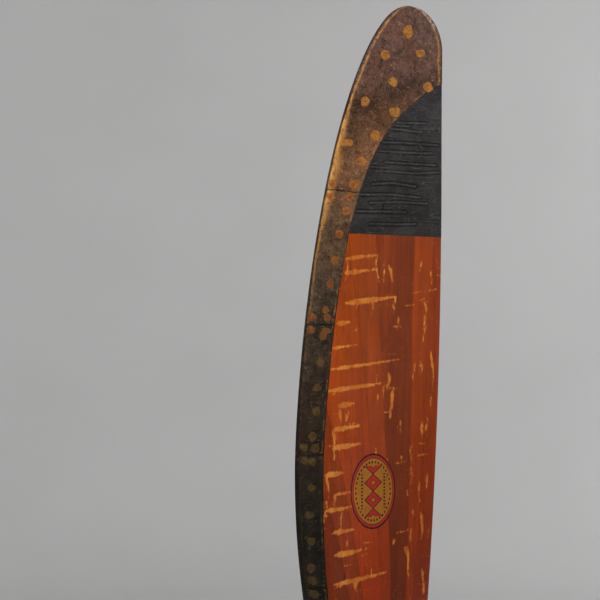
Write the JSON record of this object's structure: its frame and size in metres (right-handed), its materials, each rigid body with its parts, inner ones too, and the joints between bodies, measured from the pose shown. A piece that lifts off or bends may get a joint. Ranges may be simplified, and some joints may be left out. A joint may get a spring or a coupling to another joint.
{
  "type": "wooden propeller",
  "caption": "Fixed-pitch laminated wooden aeroplane propeller with metal-sheathed leading edges, fabric-covered tips and a bolted taper-shaft steel hub.",
  "frame": {"origin": "centre of the hub, on the shaft's axis, halfway through the wooden block", "axes": "+Z along one blade, towards its tip; +Y along the shaft, from the propeller's front face to its rear face; +X across the blade, towards that blade's trailing edge"},
  "size_m": [0.1778, 0.188, 2.0304],
  "materials": {
    "dark_wood": "aged varnish over red-brown walnut or mahogany",
    "light_wood": "aged varnish over orange-brown birch or maple",
    "sheath_metal": "dark brown patina, polished where it wears",
    "solder": "filed flush, dull",
    "black_fabric": "doped and varnished black cloth",
    "hub_steel": "machined, oiled and aged",
    "bolt_steel": "plated, dulled",
    "pin_wire": "plain drawn wire"
  },
  "bodies": {
    "propeller": {"board_1": "dark_wood", "board_2": "light_wood", "board_3": "dark_wood", "board_4": "light_wood", "board_5": "dark_wood", "board_6": "light_wood", "board_7": "dark_wood", "board_8": "light_wood", "board_9": "dark_wood", "castle_nut_1": "bolt_steel", "castle_nut_2": "bolt_steel", "castle_nut_3": "bolt_steel", "castle_nut_4": "bolt_steel", "castle_nut_5": "bolt_steel", "castle_nut_6": "bolt_steel", "castle_nut_7": "bolt_steel", "castle_nut_8": "bolt_steel", "cotter_pin_1": "pin_wire", "cotter_pin_2": "pin_wire", "cotter_pin_3": "pin_wire", "cotter_pin_4": "pin_wire", "cotter_pin_5": "pin_wire", "cotter_pin_6": "pin_wire", "cotter_pin_7": "pin_wire", "cotter_pin_8": "pin_wire", "edge_sheath_a1": "sheath_metal", "edge_sheath_a2": "sheath_metal", "edge_sheath_a3": "sheath_metal", "edge_sheath_a4": "sheath_metal", "edge_sheath_b1": "sheath_metal", "edge_sheath_b2": "sheath_metal", "edge_sheath_b3": "sheath_metal", "edge_sheath_b4": "sheath_metal", "front_flange": "hub_steel", "hub_bolt_1": "bolt_steel", "hub_bolt_2": "bolt_steel", "hub_bolt_3": "bolt_steel", "hub_bolt_4": "bolt_steel", "hub_bolt_5": "bolt_steel", "hub_bolt_6": "bolt_steel", "hub_bolt_7": "bolt_steel", "hub_bolt_8": "bolt_steel", "rear_hub": "hub_steel", "snap_ring": "bolt_steel", "tip_fabric_a": "black_fabric", "tip_fabric_b": "black_fabric", "tip_rivet_a1": "solder", "tip_rivet_a2": "solder", "tip_rivet_a3": "solder", "tip_rivet_a4": "solder", "tip_rivet_a5": "solder", "tip_rivet_b1": "solder", "tip_rivet_b2": "solder", "tip_rivet_b3": "solder", "tip_rivet_b4": "solder", "tip_rivet_b5": "solder", "tip_sheath_a": "sheath_metal", "tip_sheath_b": "sheath_metal"},
    "hub_nut": {"shaft_nut": "hub_steel"}
  },
  "joints": [
    {"name": "hub_nut_turn", "type": "hinge", "parent": "propeller", "child": "hub_nut", "pos_m": [0, -0.08, 0], "axis": [0, 1, 0], "continuous": true}
  ]
}
